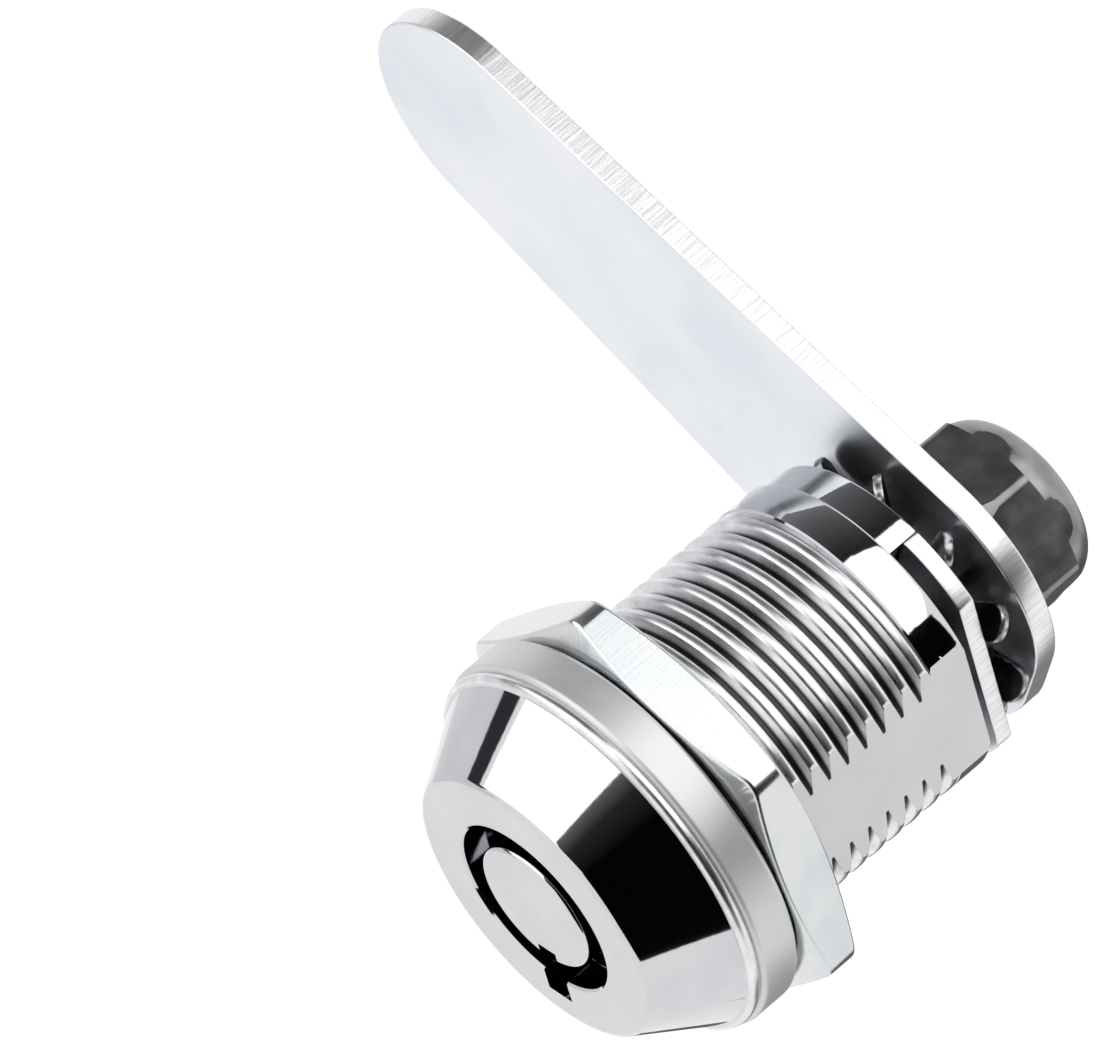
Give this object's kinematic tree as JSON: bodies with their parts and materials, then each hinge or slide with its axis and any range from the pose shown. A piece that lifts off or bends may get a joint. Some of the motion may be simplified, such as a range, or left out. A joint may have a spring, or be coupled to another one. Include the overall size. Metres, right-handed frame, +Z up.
{
  "type": "tubular cam lock",
  "caption": "Chromed tubular-key cam lock with a threaded flatted barrel, hexagonal mounting nut, pin mechanism and long flat cam that swings a quarter turn.",
  "frame": {"origin": "on the lock's axis, at the back face of the flange, which seats on the front of the panel", "axes": "+Y runs along the axis from the key side to the cam side, +Z is up, and the flats of the barrel face +X and -X; the keyway's notch points down, -Z"},
  "size_m": [0.048, 0.0354, 0.0345],
  "materials": {
    "chrome_housing": "polished chrome on die-cast zinc",
    "zinc_plated_nut": "bright blue zinc plate",
    "brass_bushing": "machined",
    "pin_steel": "ground",
    "chrome_spindle": "satin nickel and chrome",
    "zinc_plated_stop_washer": "bright zinc plate",
    "dark_spring_steel": "oiled spring steel",
    "zinc_plated_cam": "satin zinc plate",
    "plain_steel_nut": "plain steel, lightly oiled",
    "brass_key_pins": "turned",
    "spring_wire": "drawn wire"
  },
  "bodies": {
    "housing": {"housing": "chrome_housing", "pin_bushing": "brass_bushing", "bushing_retainer": "pin_steel", "pin_spring_1": "spring_wire", "pin_spring_2": "spring_wire", "pin_spring_3": "spring_wire", "pin_spring_4": "spring_wire", "pin_spring_5": "spring_wire", "pin_spring_6": "spring_wire", "pin_spring_7": "spring_wire"},
    "mounting_nut": {"mounting_nut": "zinc_plated_nut"},
    "rotor": {"spindle": "chrome_spindle", "stop_washer": "zinc_plated_stop_washer", "toothed_washer": "dark_spring_steel", "cam": "zinc_plated_cam", "end_nut": "plain_steel_nut"},
    "key_pin_1": {"key_pin_1": "brass_key_pins"},
    "key_pin_2": {"key_pin_2": "brass_key_pins"},
    "key_pin_3": {"key_pin_3": "brass_key_pins"},
    "key_pin_4": {"key_pin_4": "brass_key_pins"},
    "key_pin_5": {"key_pin_5": "brass_key_pins"},
    "key_pin_6": {"key_pin_6": "brass_key_pins"},
    "key_pin_7": {"key_pin_7": "brass_key_pins"},
    "driver_pin_1": {"driver_pin_1": "pin_steel"},
    "driver_pin_2": {"driver_pin_2": "pin_steel"},
    "driver_pin_3": {"driver_pin_3": "pin_steel"},
    "driver_pin_4": {"driver_pin_4": "pin_steel"},
    "driver_pin_5": {"driver_pin_5": "pin_steel"},
    "driver_pin_6": {"driver_pin_6": "pin_steel"},
    "driver_pin_7": {"driver_pin_7": "pin_steel"}
  },
  "joints": [
    {"name": "rotor_turn", "type": "hinge", "parent": "housing", "child": "rotor", "pos_m": [0, 0, 0], "axis": [0, 1, 0], "range_deg": [0, 90]},
    {"name": "mounting_nut_travel", "type": "slide", "parent": "housing", "child": "mounting_nut", "axis": [0, 1, 0], "range_m": [0, 0.01]},
    {"name": "key_pin_1_slide", "type": "slide", "parent": "rotor", "child": "key_pin_1", "axis": [0, -1, 0], "range_m": [0, 0.00092]},
    {"name": "key_pin_2_slide", "type": "slide", "parent": "rotor", "child": "key_pin_2", "axis": [0, -1, 0], "range_m": [0, 0.00152]},
    {"name": "key_pin_3_slide", "type": "slide", "parent": "rotor", "child": "key_pin_3", "axis": [0, -1, 0], "range_m": [0, 0.00062]},
    {"name": "key_pin_4_slide", "type": "slide", "parent": "rotor", "child": "key_pin_4", "axis": [0, -1, 0], "range_m": [0, 0.00182]},
    {"name": "key_pin_5_slide", "type": "slide", "parent": "rotor", "child": "key_pin_5", "axis": [0, -1, 0], "range_m": [0, 0.00122]},
    {"name": "key_pin_6_slide", "type": "slide", "parent": "rotor", "child": "key_pin_6", "axis": [0, -1, 0], "range_m": [0, 0.00062]},
    {"name": "key_pin_7_slide", "type": "slide", "parent": "rotor", "child": "key_pin_7", "axis": [0, -1, 0], "range_m": [0, 0.00152]},
    {"name": "driver_pin_1_slide", "type": "slide", "parent": "housing", "child": "driver_pin_1", "axis": [0, 1, 0], "range_m": [0, 0.002], "stiffness_N_per_m": 80, "springref_m": -0.0015, "deforming": ["pin_spring_1"]},
    {"name": "driver_pin_2_slide", "type": "slide", "parent": "housing", "child": "driver_pin_2", "axis": [0, 1, 0], "range_m": [0, 0.002], "stiffness_N_per_m": 80, "springref_m": -0.0015, "deforming": ["pin_spring_2"]},
    {"name": "driver_pin_3_slide", "type": "slide", "parent": "housing", "child": "driver_pin_3", "axis": [0, 1, 0], "range_m": [0, 0.002], "stiffness_N_per_m": 80, "springref_m": -0.0015, "deforming": ["pin_spring_3"]},
    {"name": "driver_pin_4_slide", "type": "slide", "parent": "housing", "child": "driver_pin_4", "axis": [0, 1, 0], "range_m": [0, 0.002], "stiffness_N_per_m": 80, "springref_m": -0.0015, "deforming": ["pin_spring_4"]},
    {"name": "driver_pin_5_slide", "type": "slide", "parent": "housing", "child": "driver_pin_5", "axis": [0, 1, 0], "range_m": [0, 0.002], "stiffness_N_per_m": 80, "springref_m": -0.0015, "deforming": ["pin_spring_5"]},
    {"name": "driver_pin_6_slide", "type": "slide", "parent": "housing", "child": "driver_pin_6", "axis": [0, 1, 0], "range_m": [0, 0.002], "stiffness_N_per_m": 80, "springref_m": -0.0015, "deforming": ["pin_spring_6"]},
    {"name": "driver_pin_7_slide", "type": "slide", "parent": "housing", "child": "driver_pin_7", "axis": [0, 1, 0], "range_m": [0, 0.002], "stiffness_N_per_m": 80, "springref_m": -0.0015, "deforming": ["pin_spring_7"]}
  ]
}
